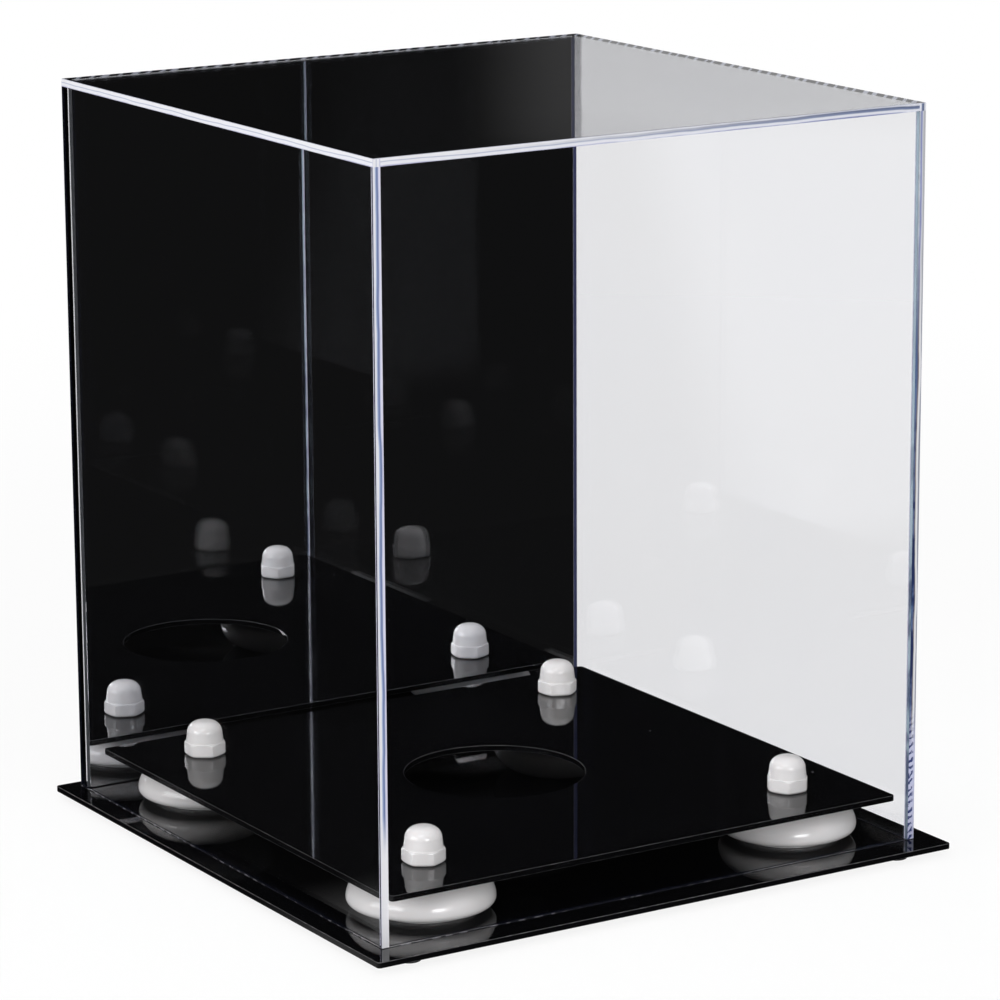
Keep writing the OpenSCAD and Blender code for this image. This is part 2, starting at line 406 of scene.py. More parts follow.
def blackAcrylic():
    # near black, with a few dust specks and slightly duller smears
    material, tree, shader = nodeTree("blackAcrylic")
    marks = useGroup(tree, marksGroup, objectPosition(tree), **blackFinish["marks"])
    colour = mixColour(tree, marks.outputs["Specks"], blackFinish["colour"], blackFinish["dust"])
    tree.links.new(colour, shader.inputs["Base Color"])
    rough = multiply(tree, marks.outputs["Smears"], blackFinish["smear"])
    tree.links.new(add(tree, rough, blackFinish["roughness"]), shader.inputs["Roughness"])
    setSockets(shader, IOR=clearFinish["ior"])
    return material


def whitePlastic():
    # warm white with soft clouds, specks and smears, over a fine orange peel
    material, tree, shader = nodeTree("whitePlastic")
    position = objectPosition(tree)
    marks = useGroup(tree, marksGroup, position, **whiteFinish["marks"])
    cloud = useGroup(tree, cloudGroup, position, **whiteFinish["cloud"])
    share = multiply(tree, cloud.outputs["Mask"], whiteFinish["shadeShare"])
    tint = mixColour(tree, share, whiteFinish["colour"], whiteFinish["shade"])
    colour = mixColour(tree, marks.outputs["Specks"], tint, whiteFinish["dust"])
    tree.links.new(colour, shader.inputs["Base Color"])
    rough = multiply(tree, marks.outputs["Smears"], whiteFinish["smear"])
    tree.links.new(add(tree, rough, whiteFinish["roughness"]), shader.inputs["Roughness"])
    peel = noise(tree, position, *whiteFinish["orangePeel"])
    tree.links.new(bump(tree, peel, whiteFinish["relief"]), shader.inputs["Normal"])
    setSockets(shader, **whiteFinish["depth"])
    return material


def letLightThrough(tree, shader):
    # lamps and soft light pass straight through, as they do through thin clear sheet
    path = tree.nodes.new("ShaderNodeLightPath")
    clear = tree.nodes.new("ShaderNodeBsdfTransparent")
    mix = tree.nodes.new("ShaderNodeMixShader")
    either = mathNode(tree, "MAXIMUM", path.outputs["Is Shadow Ray"], path.outputs["Is Diffuse Ray"])
    tree.links.new(either, mix.inputs["Fac"])
    tree.links.new(shader.outputs["BSDF"], mix.inputs[1])
    tree.links.new(clear.outputs["BSDF"], mix.inputs[2])
    tree.links.new(mix.outputs["Shader"], tree.nodes["Material Output"].inputs["Surface"])


def clearAcrylic():
    # clear with a slight haze in clouds, a little darker and bluer on the top sheet, and faintly wavy
    material, tree, shader = nodeTree("clearAcrylic")
    position = objectPosition(tree)
    cloud = useGroup(tree, cloudGroup, position, **clearFinish["cloud"])
    colour = mixColour(tree, cloud.outputs["Mask"], clearFinish["colour"], clearFinish["haze"])
    topLevel = boxOf("cover_top_panel")[1][2]
    onTop = mathNode(tree, "GREATER_THAN", separate(tree, position)[2], topLevel - touching)
    colour = mixColour(tree, onTop, colour, clearFinish["topTint"])
    tree.links.new(colour, shader.inputs["Base Color"])
    setSockets(shader, Roughness=0.0, IOR=clearFinish["ior"], Transmission_Weight=1.0)
    wave = noise(tree, position, *clearFinish["wave"])
    tree.links.new(bump(tree, wave, clearFinish["relief"]), shader.inputs["Normal"])
    letLightThrough(tree, shader)
    return material


# The cut edges of the clear sheet: bands of colour across the edge, from its outer arris at
# 0 to its glued side at 1, for the near upright ends, the right ones and the top's edges.
# These bands are painted light and painted reflection: white, blue and dark stripes that stand
# in for light carried along the sheet and for what its faces mirror.
# Heights are in metres over the foot, and shares say how strong a mark is at them.
edgeFinish = {
    "near": [(0.0, (0.88, 0.88, 0.93)), (0.26, (0.88, 0.88, 0.93)), (0.36, (0.48, 0.57, 0.80)),
             (0.54, (0.17, 0.22, 0.42)), (0.68, (0.20, 0.26, 0.46)), (0.80, (0.72, 0.72, 0.90)),
             (1.0, (0.80, 0.79, 0.93))],
    "right": [(0.0, (0.34, 0.36, 0.42)), (0.12, (0.24, 0.27, 0.36)), (0.26, (0.90, 0.90, 0.93)),
              (0.46, (0.84, 0.84, 0.86)), (0.56, (0.24, 0.20, 0.19)), (0.72, (0.14, 0.16, 0.28)),
              (1.0, (0.12, 0.22, 0.42))],
    "rightHigh": [(0.0, (0.55, 0.56, 0.58)), (0.22, (0.50, 0.51, 0.55)), (0.36, (0.74, 0.76, 0.80)),
                  (0.50, (0.30, 0.32, 0.60)), (0.62, (0.34, 0.38, 0.66)), (0.76, (0.66, 0.72, 0.80)),
                  (1.0, (0.58, 0.62, 0.66))],
    "topNear": [(0.0, (0.92, 0.92, 0.95)), (0.40, (0.90, 0.90, 0.94)), (0.50, (0.46, 0.50, 0.66)),
                (0.60, (0.88, 0.89, 0.94)), (0.88, (0.88, 0.88, 0.95)), (1.0, (0.55, 0.55, 0.75))],
    "topRight": [(0.0, (0.84, 0.85, 0.90)), (0.16, (0.72, 0.74, 0.82)), (0.30, (0.12, 0.15, 0.26)),
                 (0.56, (0.22, 0.27, 0.42)), (0.68, (0.84, 0.85, 0.92)), (0.88, (0.80, 0.82, 0.92)),
                 (1.0, (0.22, 0.25, 0.45))],
    "towardsRight": (-0.12, 0.12),
    "wander": 0.13,
    "wanderNoise": (22.0, 3.0, 0.55),
    "wanderBand": (0.25, 0.75),
    "white": (0.90, 0.90, 0.94),
    "whiteHeights": (0.055, 0.035),
    "rightHighHeights": (0.20, 0.27),
    "reflectedNavy": (0.020, 0.032, 0.110),
    "mottle": {"Scale": 70.0, "Detail": 4.0, "Roughness": 0.6, "Low": 0.42, "High": 0.56},
    "deepAcross": (0.52, 0.62),
    "deepHeights": (0.21, 0.13),
    "deepShares": (0.2, 0.95),
    "sawn": (0.045, 0.065, 0.200),
    "sawnPale": (0.62, 0.64, 0.86),
    "sawnHeights": (0.060, 0.035),
    "sawMarks": 330.0,
    "sawSlant": 2.0 * mm,
    "sawShake": (420.0, 3.0, 0.65),
    "sawBand": (-0.15, 0.40),
    "sawRelief": (0.10, 0.1 * mm),
    "flecks": {"Scale": 520.0, "Detail": 2.0, "Low": 0.34, "High": 0.46},
    "fleckAcross": (0.24, 0.42),
    "fleckShares": (0.15, 1.0),
    "arris": (0.66, 0.67, 0.78),
    "arrisUnder": 0.001,
    "footDim": (0.055, 0.055, 0.075),
    "footGlint": (0.80, 0.78, 0.86),
    "footDull": (0.10, 0.10, 0.13),
    "footDashes": 150.0,
    "footDashBand": (0.0, 0.5),
    "footPatchBand": (0.40, 0.55),
    "footRise": 0.4 * mm,
    "within": (0.005, 0.006, 0.012),
    "glint": (0.72, 0.74, 0.82),
    "roughness": 0.12,
    "through": 0.15,
}
# the cement between the sheets. Its heights are in metres over the floor.
seamFinish = {
    "pale": (0.62, 0.65, 0.74),
    "dark": (0.004, 0.005, 0.009),
    "dashes": {"Per_Metre": 150.0, "Shake_Scale": 110.0},
    "roughness": 0.35,
    # the film's steel blue and its navy patches are a painted reflection
    "film": (0.34, 0.44, 0.52),
    "filmReflectedNavy": (0.020, 0.034, 0.110),
    "filmCloud": {"Scale": 40.0, "Detail": 4.0, "Roughness": 0.6, "Low": 0.42, "High": 0.60},
    "filmHeights": (0.20, 0.10),
    "filmShares": (0.15, 0.85),
    "filmRoughness": 0.3,
    "bead": (0.52, 0.50, 0.64),
    "beadGrain": {"Scale": 180.0, "Low": 0.35, "High": 0.65},
    "beadRoughness": 0.2,
    "relief": (0.2, 0.1 * mm),
}


def cutEdge():
    # The map's u runs along the edge in metres and its v across the sheet. The painted bands of
    # light and reflection wander a little along the edge and darken in patches of painted reflection
    # to the right, where the lowest stretch shows the saw's slanted marks. Seen through the sheet
    # an edge is painted dark, with painted glints.
    material, tree, shader = nodeTree("cutEdge")
    position = objectPosition(tree)
    along, across = separate(tree, tree.nodes.new("ShaderNodeUVMap").outputs["UV"])[:2]
    place = separate(tree, position)
    x, height = place[0], place[2]
    footLevel = boxOf("cover_front_panel")[0][2]

    def atHeights(heights, shares=(0.0, 1.0)):
        return ramp(tree, height, footLevel + heights[0], footLevel + heights[1], *shares)

    towardsRight = ramp(tree, x, *edgeFinish["towardsRight"])
    onTop = mathNode(tree, "GREATER_THAN", height, boxOf("cover_top_panel")[0][2])
    slow = noise(tree, position, *edgeFinish["wanderNoise"])
    shift = ramp(tree, slow, *edgeFinish["wanderBand"], -edgeFinish["wander"], edgeFinish["wander"])
    shifted = mathNode(tree, "ADD", across, shift, clamp=True)

    near = colourStops(tree, shifted, edgeFinish["near"])
    # the lowest stretch of the near edges is painted white: a painted glow of light carried along the
    # sheet
    near = mixColour(tree, atHeights(edgeFinish["whiteHeights"]), near, edgeFinish["white"])
    right = mixColour(tree, atHeights(edgeFinish["rightHighHeights"]),
                      colourStops(tree, shifted, edgeFinish["right"]),
                      colourStops(tree, shifted, edgeFinish["rightHigh"]))
    mottle = useGroup(tree, cloudGroup, position, **edgeFinish["mottle"])
    # navy patches low on the right edges: a painted reflection
    reflectedPatches = multiply(tree, mottle.outputs["Mask"], ramp(tree, shifted, *edgeFinish["deepAcross"]),
                       atHeights(edgeFinish["deepHeights"], edgeFinish["deepShares"]))
    right = mixColour(tree, reflectedPatches, right, edgeFinish["reflectedNavy"])
    shake = noise(tree, position, *edgeFinish["sawShake"])
    slant = add(tree, along, multiply(tree, across, edgeFinish["sawSlant"]))
    saw = ramp(tree, marksAlong(tree, slant, shake, edgeFinish["sawMarks"]), *edgeFinish["sawBand"])
    broken = useGroup(tree, cloudGroup, position, **edgeFinish["flecks"])
    flecks = multiply(tree, saw, broken.outputs["Mask"],
                      ramp(tree, across, *edgeFinish["fleckAcross"], *edgeFinish["fleckShares"]))
    sawn = mixColour(tree, flecks, edgeFinish["sawnPale"], edgeFinish["sawn"])
    right = mixColour(tree, atHeights(edgeFinish["sawnHeights"]), right, sawn)
    upright = mixColour(tree, towardsRight, near, right)
    level = mixColour(tree, towardsRight, colourStops(tree, shifted, edgeFinish["topNear"]),
                      colourStops(tree, shifted, edgeFinish["topRight"]))
    outside = mixColour(tree, onTop, upright, level)

    # the pale arris lines are painted highlights; at the foot they are painted glints in dashes, bright
    # on the left and dull to the right
    footDash = ramp(tree, marksAlong(tree, along, shake, edgeFinish["footDashes"]),
                    *edgeFinish["footDashBand"])
    footPatch = ramp(tree, mottle.outputs["Noise"], *edgeFinish["footPatchBand"])
    footTone = mixColour(tree, towardsRight, edgeFinish["footGlint"], edgeFinish["footDull"])
    footTone = mixColour(tree, multiply(tree, footDash, footPatch), edgeFinish["footDim"], footTone)
    aboveFoot = mathNode(tree, "GREATER_THAN", height, footLevel + edgeFinish["footRise"])
    arrisHighlightTone = mixColour(tree, aboveFoot, footTone, edgeFinish["arris"])
    onArris = mathNode(tree, "LESS_THAN", across, edgeFinish["arrisUnder"])
    outside = mixColour(tree, onArris, outside, arrisHighlightTone)
    # seen through the sheet the edge is painted near black, with painted glints along the dashes on top
    dashes = useGroup(tree, dashesGroup, position, **seamFinish["dashes"])
    glint = multiply(tree, dashes.outputs["Dashes"], onTop)
    within = mixColour(tree, glint, edgeFinish["within"], edgeFinish["glint"])
    facing = tree.nodes.new("ShaderNodeNewGeometry").outputs["Backfacing"]
    tree.links.new(mixColour(tree, facing, outside, within), shader.inputs["Base Color"])
    tree.links.new(bump(tree, saw, edgeFinish["sawRelief"]), shader.inputs["Normal"])
    setSockets(shader, Roughness=edgeFinish["roughness"], IOR=clearFinish["ior"],
               Transmission_Weight=edgeFinish["through"])
    return material


def gluedSeam():
    # dried cement on top of the walls: dark, with pale dashes where it has let go
    material, tree, shader = nodeTree("gluedSeam")
    dashes = useGroup(tree, dashesGroup, objectPosition(tree), **seamFinish["dashes"]).outputs["Dashes"]
    tree.links.new(mixColour(tree, dashes, seamFinish["dark"], seamFinish["pale"]),
                   shader.inputs["Base Color"])
    tree.links.new(bump(tree, dashes, seamFinish["relief"]), shader.inputs["Normal"])
    setSockets(shader, Roughness=seamFinish["roughness"])
    return material


def cementFilm():
    # a thin film of cement inside the upright joint, painted steel blue and, lower down, navy, as a
    # painted reflection
    material, tree, shader = nodeTree("cementFilm")
    position = objectPosition(tree)
    cloud = useGroup(tree, cloudGroup, position, **seamFinish["filmCloud"])
    lower = ramp(tree, separate(tree, position)[2], *seamFinish["filmHeights"], *seamFinish["filmShares"])
    share = multiply(tree, cloud.outputs["Mask"], lower)
    colour = mixColour(tree, share, seamFinish["film"], seamFinish["filmReflectedNavy"])
    tree.links.new(colour, shader.inputs["Base Color"])
    setSockets(shader, Roughness=seamFinish["filmRoughness"])
    return material


def grainyFinish(name, colour, worn, grainLook, roughness, relief=None):
    # one colour that turns to a worn one by a fine grain, which may stand in relief
    material, tree, shader = nodeTree(name)
    grain = useGroup(tree, cloudGroup, objectPosition(tree), **grainLook)
    tree.links.new(mixColour(tree, grain.outputs["Mask"], colour, worn), shader.inputs["Base Color"])
    if relief:
        tree.links.new(bump(tree, grain.outputs["Noise"], relief), shader.inputs["Normal"])
    setSockets(shader, Roughness=roughness)
    return material


def footRubber():
    # black, and greyer where it is worn
    return grainyFinish("footRubber", rubberFinish["colour"], rubberFinish["worn"],
                        rubberFinish["grain"], rubberFinish["roughness"], rubberFinish["relief"])


def cementBead():
    # the thin line of cement pressed out into a corner
    return grainyFinish("cementBead", seamFinish["bead"], seamFinish["pale"],
                        seamFinish["beadGrain"], seamFinish["beadRoughness"], seamFinish["relief"])


def sandedArrisHighlight():
    # the boards' thin bevels: sanded, and greyer than the boards as a painted highlight along each arris
    return grainyFinish("sandedArrisHighlight", arrisFinish["colour"], arrisFinish["worn"],
                        arrisFinish["grain"], arrisFinish["roughness"])


def mirrorPaint():
    # the dull grey coat on the mirror's back
    return grainyFinish("mirrorPaint", paintFinish["colour"], paintFinish["worn"],
                        paintFinish["grain"], paintFinish["roughness"], paintFinish["relief"])


def mirrorFace():
    # silvered, with specks and faint smears, and without its silver in a rim at the right end
    material, tree, shader = nodeTree("mirrorFace")
    position = objectPosition(tree)
    marks = useGroup(tree, marksGroup, position, **mirrorFinish["marks"])
    colour = mixColour(tree, marks.outputs["Specks"], mirrorFinish["colour"], mirrorFinish["dust"])
    rimStart = boxOf("mirror_sheet")[1][0] - mirrorFinish["rimWidth"]
    rim = ramp(tree, separate(tree, position)[0], rimStart, rimStart + mirrorFinish["rimSoft"])
    tree.links.new(mixColour(tree, rim, colour, mirrorFinish["rim"]), shader.inputs["Base Color"])
    tree.links.new(mathNode(tree, "SUBTRACT", 1.0, rim), shader.inputs["Metallic"])
    rough = multiply(tree, marks.outputs["Smears"], mirrorFinish["smear"])
    tree.links.new(rough, shader.inputs["Roughness"])
    return material


black = blackAcrylic()
white = whitePlastic()
rubber = footRubber()
clear = clearAcrylic()
edge = cutEdge()
seam = gluedSeam()
film = cementFilm()
bead = cementBead()
arrisSandedAndLit = sandedArrisHighlight()
mirror = mirrorFace()
paint = mirrorPaint()
print("stage: materials made")

# The glued cover, in metres. lift keeps its foot just clear of the base plate. seam is how
# thick the cement is, squeeze how far it comes inside, and bead the size of the corner beads.
cover = {"wall": 3.2 * mm, "arris": 0.2 * mm, "lift": 0.04 * mm, "arrisSteps": 4, "seam": 0.04 * mm,
         "bead": 0.45 * mm, "squeeze": 0.6 * mm}


def coverOutline(half, centre, inset, wall, arris, steps):
    # One turn round the cover at a distance inset from its outside. Each corner is a quarter
    # circle of arris minus inset, and each front or back side has a point where the glued
    # end of a side sheet begins.
    radius = max(arris - inset, 0.0)
    reach = half - inset - radius
    turn = np.linspace(0, math.pi / 2, steps)
    parts = []
    for quarter, (signX, signY) in enumerate([(1, 1), (-1, 1), (-1, -1), (1, -1)]):
        angle = turn + quarter * math.pi / 2
        corner = np.array([signX * reach[0], signY * reach[1]])
        arcPoints = corner + radius * np.column_stack([np.cos(angle), np.sin(angle)])
        joint = np.array([[signX * (half[0] - max(wall, inset)), signY * (half[1] - inset)]])
        parts.append(np.concatenate([arcPoints, joint] if quarter % 2 == 0 else [joint, arcPoints]))
    return np.concatenate(parts) + centre


def makeCover():
    # The profile starts on the top face, goes over the arris, down the outside past the
    # top sheet's joint, round the foot and up the inside, and is carried round the outline.
    low = np.min([boxOf(f"cover_{side}_panel")[0] for side in ("front", "left", "top")], axis=0)
    high = np.max([boxOf(f"cover_{side}_panel")[1] for side in ("back", "right", "top")], axis=0)
    low[2] += cover["lift"]
    wall, arris, steps = cover["wall"], cover["arris"], cover["arrisSteps"]
    centre, half = ((low + high) / 2)[:2], ((high - low) / 2)[:2]
    angle = np.linspace(0, math.pi / 2, steps)
    drawn, rise = arris * (1 - np.sin(angle)), arris * (1 - np.cos(angle))
    profile = np.concatenate([
        np.column_stack([drawn, high[2] - rise]),
        [(0, high[2] - wall)],
        np.column_stack([drawn[::-1], low[2] + rise[::-1]]),
        np.column_stack([wall - drawn, low[2] + rise]),
        [(wall, high[2] - wall)]])
    rings = []
    for inset, z in profile:
        outline = coverOutline(half, centre, inset, wall, arris, steps)
        rings.append(np.column_stack([outline, np.full(len(outline), z)]))
    cols = len(rings[0])
    faces = gridFaces(len(rings), cols) + gridEnds(len(rings), cols)
    mesh = closeMesh("clear_cover", np.concatenate(rings), faces)
    piece = addObject("clear_cover", mesh, [clear, edge], "cover")

    # which faces are cut edges
    count = len(mesh.polygons)
    normals, middles = faceVectors(mesh, "normal"), faceVectors(mesh, "center")
    out = half - np.abs(middles[:, :2] - centre)
    upright = np.abs(normals[:, 2]) < uprightUnder
    onOutside = np.min(out, axis=1) < arris
    slanted = np.max(np.abs(normals), axis=1) < squareOver
    topEdge = upright & onOutside & (middles[:, 2] > high[2] - wall)
    sideEnd = upright & (out[:, 1] < touching) & (out[:, 0] < wall)
    onFoot = (normals[:, 2] < -squareOver) & (middles[:, 2] < low[2] + arris)
    isEdge = topEdge | sideEnd | onFoot | slanted
    mesh.polygons.foreach_set("material_index", isEdge.astype(np.int32))

    # the map on them: metres along the edge, and the share of the sheet's thickness across it
    loops = len(mesh.loops)
    corner = np.zeros(loops, dtype=np.int32)
    mesh.loops.foreach_get("vertex_index", corner)
    points = np.zeros(len(mesh.vertices) * 3)
    mesh.vertices.foreach_get("co", points)
    place = points.reshape(-1, 3)[corner]
    total = np.zeros(count, dtype=np.int32)
    mesh.polygons.foreach_get("loop_total", total)
    owner = np.repeat(np.arange(count), total)
    inset = half - np.abs(place[:, :2] - centre)
    facesSide = np.abs(normals[owner, 0]) > np.abs(normals[owner, 1])
    longSide = np.where(facesSide, place[:, 1], place[:, 0])
    along = np.where(sideEnd[owner], place[:, 2], longSide)
    across = np.where(sideEnd[owner], inset[:, 0] / wall, (high[2] - place[:, 2]) / wall)
    across = np.where(onFoot[owner], np.min(inset, axis=1) / wall, across)
    across = np.where(slanted[owner], 0.0, across)
    layer = mesh.uv_layers.new(name="alongEdge")
    layer.data.foreach_set("uv", np.column_stack([along, across]).ravel())

    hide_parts(*[f"cover_{side}_panel" for side in ("front", "left", "right", "back", "top")])


def makeSeams():
    # Cement where the sheets meet: flat layers on top of the right and back walls, a film in
    # the right front joint, and a bead of triangular section up each front corner inside. Each
    # is a prism: an outline in plan, repeated at a low and a high height.
    low = boxOf("cover_left_panel")[0]
    high = boxOf("cover_top_panel")[1]
    wall, half, side, squeeze = cover["wall"], cover["seam"] / 2, cover["bead"], cover["squeeze"]
    margin = cover["arris"]
    joint = high[2] - wall
    left, right = low[0] + wall, high[0] - wall
    front, back = low[1] + wall, high[1] - wall

    def plan(x0, x1, y0, y1):
        return [(x0, y0), (x1, y0), (x1, y1), (x0, y1)]

    def corner(x, turn):
        return [(x, front), (x + turn * side, front), (x, front + side)]

    upright = (low[2] + margin, joint - margin)
    layer = (joint - half, joint + half)
    prisms = [
        (plan(right - squeeze, high[0] - margin, front, back), layer, 0),
        (plan(left, high[0] - margin, back + margin, high[1] - margin), layer, 0),
        (plan(right - half, right + half, low[1] + margin, front - margin), upright, 1),
        (corner(left, 1), upright, 2),
        (corner(right, -1), upright, 2)]
    points, faces, finishes = [], [], []
    for outline, heights, finish in prisms:
        n, first = len(outline), len(points)
        points += [(*point, z) for z in heights for point in outline]
        for k in range(n):
            faces.append([first + (k + step) % n + up for step, up in ((0, 0), (1, 0), (1, n), (0, n))])
        faces += [[first + k for k in reversed(range(n))], [first + n + k for k in range(n)]]
        finishes += [finish] * (n + 2)
    mesh = closeMesh("glue_seams", np.array(points), faces)
    mesh.polygons.foreach_set("material_index", np.array(finishes, dtype=np.int32))
    piece = addObject("glue_seams", mesh, [seam, film, bead], "cover")


makeCover()
makeSeams()
print("stage: clear cover made")

# The mirror sheet, in metres. Faces whose normal has more than silverOver of itself towards
# the front are silvered, and the rest has the back's paint.
mirrorSheet = {"round": 0.3 * mm, "arris": 0.15 * mm, "clearance": 0.03 * mm, "silverOver": 0.9}


def makeMirror():
    # the node's box less a clearance all round, as a slab that is thin from front to back
    low, high = boxOf("mirror_sheet")
    gap = mirrorSheet["clearance"]
    mesh = slab("mirror_pane", low + gap, high - gap, 1, mirrorSheet["round"], mirrorSheet["arris"])
    piece = addObject("mirror_pane", mesh, [paint, mirror], "cover")
    towardsFront = -faceVectors(mesh, "normal")[:, 1]
    silvered = towardsFront > mirrorSheet["silverOver"]
    mesh.polygons.foreach_set("material_index", silvered.astype(np.int32))
    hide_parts("mirror_sheet")


makeMirror()

# The two black boards, in metres. The angles are in degrees: faces nearer than flatUnder to
# one plane are joined, edges over sharpOver are shaded sharp and those over bevelOver bevelled.
boards = {"arris": 0.3 * mm, "segments": 2, "merge": 1e-6, "flatUnder": 0.5, "sharpOver": 30,
          "bevelOver": 40}


def makeBoard(node, name):
    # a copy of the plate with its doubled points joined and a small bevel on every arris
    source = bpy.data.objects[node]
    work = bmesh.new()
    work.from_mesh(source.data)
    bmesh.ops.remove_doubles(work, verts=work.verts, dist=boards["merge"])
    bmesh.ops.dissolve_limit(work, angle_limit=math.radians(boards["flatUnder"]),
                             verts=work.verts, edges=work.edges)
    mesh = bpy.data.meshes.new(name)
    work.to_mesh(mesh)
    work.free()
    mesh.shade_smooth()
    mesh.set_sharp_from_angle(angle=math.radians(boards["sharpOver"]))
    piece = addObject(name, mesh, [black, arrisSandedAndLit], "stand")
    bevel = piece.modifiers.new("arris", "BEVEL")
    bevel.width = boards["arris"]
    bevel.segments = boards["segments"]
    bevel.limit_method = "ANGLE"
    bevel.angle_limit = math.radians(boards["bevelOver"])
    bevel.harden_normals = True
    # the bevels get the sanded finish with its painted highlight
    bevel.material = 1  # the sanded finish
    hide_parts(node)


makeBoard("base_plate", "base_board")
makeBoard("platform_plate", "platform_board")
print("stage: boards and mirror made")

# a dome riser, in metres, about its own axis
riser = {
    "rimLift": 2.4 * mm,
    "rimRadius": 2.8 * mm,
    "rimStep": 0.4 * mm,
    "rimSteps": 20,
    "domeSteps": 48,
    "seatRadius": 13 * mm,
    "ringRadius": 20.5 * mm,
    "ringBevel": 0.3 * mm,
    "wall": 2 * mm,
    "roofBevel": 1.2 * mm,
    "hubRadius": 6.5 * mm,
    "hubFlare": 1 * mm,
    "hubBevel": 0.2 * mm,
    "boreRadius": 3.2 * mm,
}


def riserProfile(low, high):
    # Seat, then a quarter ellipse down to the widest point, and the round of the rim. Then
    # the underside, the standing ring, and inside it the hollow, the hub and the bore.
    height = high[2] - low[2]
    outer = (high[0] - low[0]) / 2
    rimR = outer - riser["rimRadius"]
    rimZ = riser["rimLift"] + riser["rimRadius"]
    turn = np.linspace(0, math.pi / 2, riser["domeSteps"])
    dome = np.column_stack([riser["seatRadius"] + (outer - riser["seatRadius"]) * np.sin(turn),
                            rimZ + (height - rimZ) * np.cos(turn)])
    rim = arc(rimR, rimZ, riser["rimRadius"], 0, -90, riser["rimSteps"])[1:]
    ring, step, bevel = riser["ringRadius"], riser["rimStep"], riser["ringBevel"]
    inner = ring - riser["wall"]
    roof = height - riser["wall"]
    hub, bore = riser["hubRadius"], riser["boreRadius"]
    below = [(ring + step, riser["rimLift"]), (ring, riser["rimLift"] - step), (ring, bevel),
             (ring - bevel, 0.0), (inner + bevel, 0.0), (inner, bevel),
             (inner, roof - riser["roofBevel"]), (inner - riser["roofBevel"], roof),
             (hub + riser["hubFlare"], roof), (hub, roof - riser["hubFlare"]),
             (hub, riser["hubBevel"]), (hub - riser["hubBevel"], 0.0), (bore, 0.0), (bore, height)]
    return np.concatenate([dome, rim, below, dome[:1]])


def makeRiser(corner):
    # the riser's profile, once round
    low, high = boxOf(f"riser_{corner}")
    mesh = revolve(f"dome_{corner}", riserProfile(low, high), footOf(low, high))
    piece = addObject(f"dome_{corner}", mesh, [white], "stand")
    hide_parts(f"riser_{corner}")


# a cap nut, in metres. turns are the angles at which the nuts came tight, in degrees.
nut = {
    "acrossFlats": 17 * mm,
    "hexHeight": 5.7 * mm,
    "cornerRound": 1.9 * mm,
    "footBevel": 1.1 * mm,
    "footShares": (0.25, 0.6, 1.0),
    "bevelInset": 0.15 * mm,
    "bevelDrop": 1.75 * mm,
    "bevelSoft": 0.25 * mm,
    "neckInset": 0.25 * mm,
    "neckRise": 0.06 * mm,
    "neckFillet": 0.35 * mm,
    "neckLap": 0.02 * mm,
    "capRadius": 7.9 * mm,
    "capSide": 0.42,
    "sideStart": 0.45 * mm,
    "taper": 0.4 * mm,
    "capPower": 0.7,
    "boreRadius": 3.05 * mm,
    "boreHeight": 9 * mm,
    "segments": 180,
    "hexSteps": 26,
    "neckSteps": 6,
    "sideSteps": 5,
    "capSteps": 26,
    "sharpOver": 40,
    "turns": {"front_left": 27, "front_right": 58, "rear_left": 24, "rear_right": 40},
}


def softMinimum(a, b, softness):
    # the smaller of two values, with a rounded change from one to the other
    mixture = np.clip(0.5 + (b - a) / (2 * softness), 0, 1)
    return b * (1 - mixture) + a * mixture - softness * mixture * (1 - mixture)


